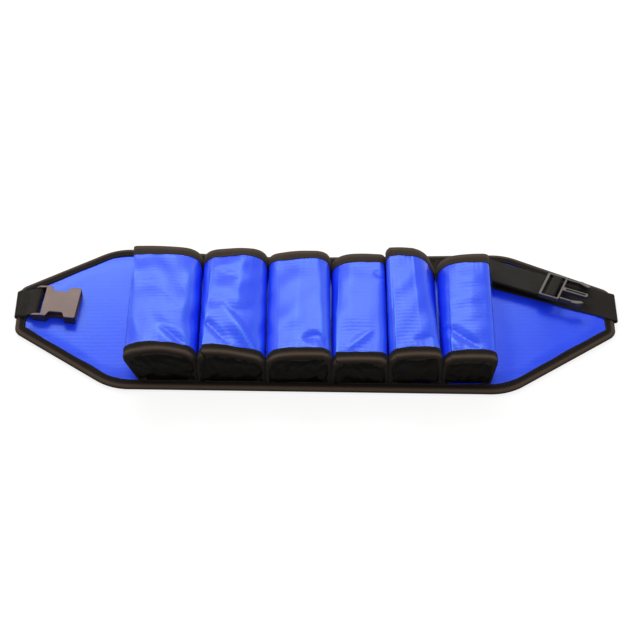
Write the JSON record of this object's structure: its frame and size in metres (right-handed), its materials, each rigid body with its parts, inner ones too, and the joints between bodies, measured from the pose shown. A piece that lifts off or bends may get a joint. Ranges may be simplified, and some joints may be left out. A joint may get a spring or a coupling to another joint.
{
  "type": "dive weight belt",
  "caption": "Padded waist belt with a row of arched sleeve pockets for weights, webbing straps folded over both ends and a side-release buckle.",
  "frame": {"origin": "centre of the belt's back on the surface that it lies on", "axes": "+X along the belt towards the plug end, +Y the wearer's up, +Z out of the belt's front"},
  "size_m": [0.7224, 0.2252, 0.0588],
  "materials": {
    "tarpaulin": "coated, satin",
    "binding": "woven tape",
    "gusset_cloth": "coated, crumpled",
    "lining": "brushed knit",
    "foam": "closed-cell foam",
    "webbing": "ribbed webbing",
    "socket_plastic": "satin moulded",
    "plug_plastic": "satin moulded"
  },
  "bodies": {
    "panel": {"back_lining": "lining", "foam_core": "foam", "front_panel": "tarpaulin", "edge_binding": "binding", "left_web_anchor": "webbing", "right_web_anchor": "webbing", "left_web_fold": "webbing", "right_web_fold": "webbing", "pocket_1_sleeve": "tarpaulin", "pocket_1_base_gusset": "gusset_cloth", "pocket_1_base_binding": "binding", "pocket_1_rim_binding": "binding", "pocket_2_sleeve": "tarpaulin", "pocket_2_base_gusset": "gusset_cloth", "pocket_2_base_binding": "binding", "pocket_2_rim_binding": "binding", "pocket_3_sleeve": "tarpaulin", "pocket_3_base_gusset": "gusset_cloth", "pocket_3_base_binding": "binding", "pocket_3_rim_binding": "binding", "pocket_4_sleeve": "tarpaulin", "pocket_4_base_gusset": "gusset_cloth", "pocket_4_base_binding": "binding", "pocket_4_rim_binding": "binding", "pocket_5_sleeve": "tarpaulin", "pocket_5_base_gusset": "gusset_cloth", "pocket_5_base_binding": "binding", "pocket_5_rim_binding": "binding", "pocket_6_sleeve": "tarpaulin", "pocket_6_base_gusset": "gusset_cloth", "pocket_6_base_binding": "binding", "pocket_6_rim_binding": "binding"},
    "left_strap": {"left_web_loop": "webbing"},
    "socket": {"socket_buckle": "socket_plastic"},
    "right_strap": {"right_web_lower": "webbing", "right_web_turn": "webbing"},
    "plug_strap": {"right_web_upper": "webbing", "right_web_tail": "webbing"},
    "plug": {"plug_frame": "plug_plastic", "right_web_bridge": "webbing"},
    "near_latch": {"near_latch": "plug_plastic"},
    "far_latch": {"far_latch": "plug_plastic"}
  },
  "joints": [
    {"name": "left_strap_fold", "type": "hinge", "parent": "panel", "child": "left_strap", "pos_m": [-0.3583, 0.0217, 0.00535], "axis": [0, -1, 0], "range_deg": [0, 170], "deforming": ["left_web_fold"]},
    {"name": "socket_pivot", "type": "hinge", "parent": "left_strap", "child": "socket", "pos_m": [-0.33395, 0.01897, 0.0127], "axis": [-0.1115, -0.9938, 0], "range_deg": [0, 100]},
    {"name": "right_strap_fold", "type": "hinge", "parent": "panel", "child": "right_strap", "pos_m": [0.3583, 0.016, 0.00535], "axis": [0, 1, 0], "range_deg": [0, 170], "deforming": ["right_web_fold"]},
    {"name": "right_strap_turn", "type": "hinge", "parent": "right_strap", "child": "plug_strap", "pos_m": [0.224, 0.0635, 0.01075], "axis": [-0.3523, -0.9305, 0.1002], "range_deg": [0, 95], "deforming": ["right_web_turn", "right_web_tail"]},
    {"name": "plug_slide", "type": "slide", "parent": "plug_strap", "child": "plug", "axis": [0.9272, -0.3746, 0], "range_m": [0, 0.03]},
    {"name": "near_latch_flex", "type": "hinge", "parent": "plug", "child": "near_latch", "pos_m": [0.29183, 0.01645, 0.02179], "axis": [0.0747, 0.1849, 0.9799], "range_deg": [0, 8], "stiffness_Nm_per_rad": 0.6},
    {"name": "far_latch_flex", "type": "hinge", "parent": "plug", "child": "far_latch", "pos_m": [0.30608, 0.0517, 0.01405], "axis": [-0.0747, -0.1849, -0.9799], "range_deg": [0, 8], "stiffness_Nm_per_rad": 0.6}
  ]
}
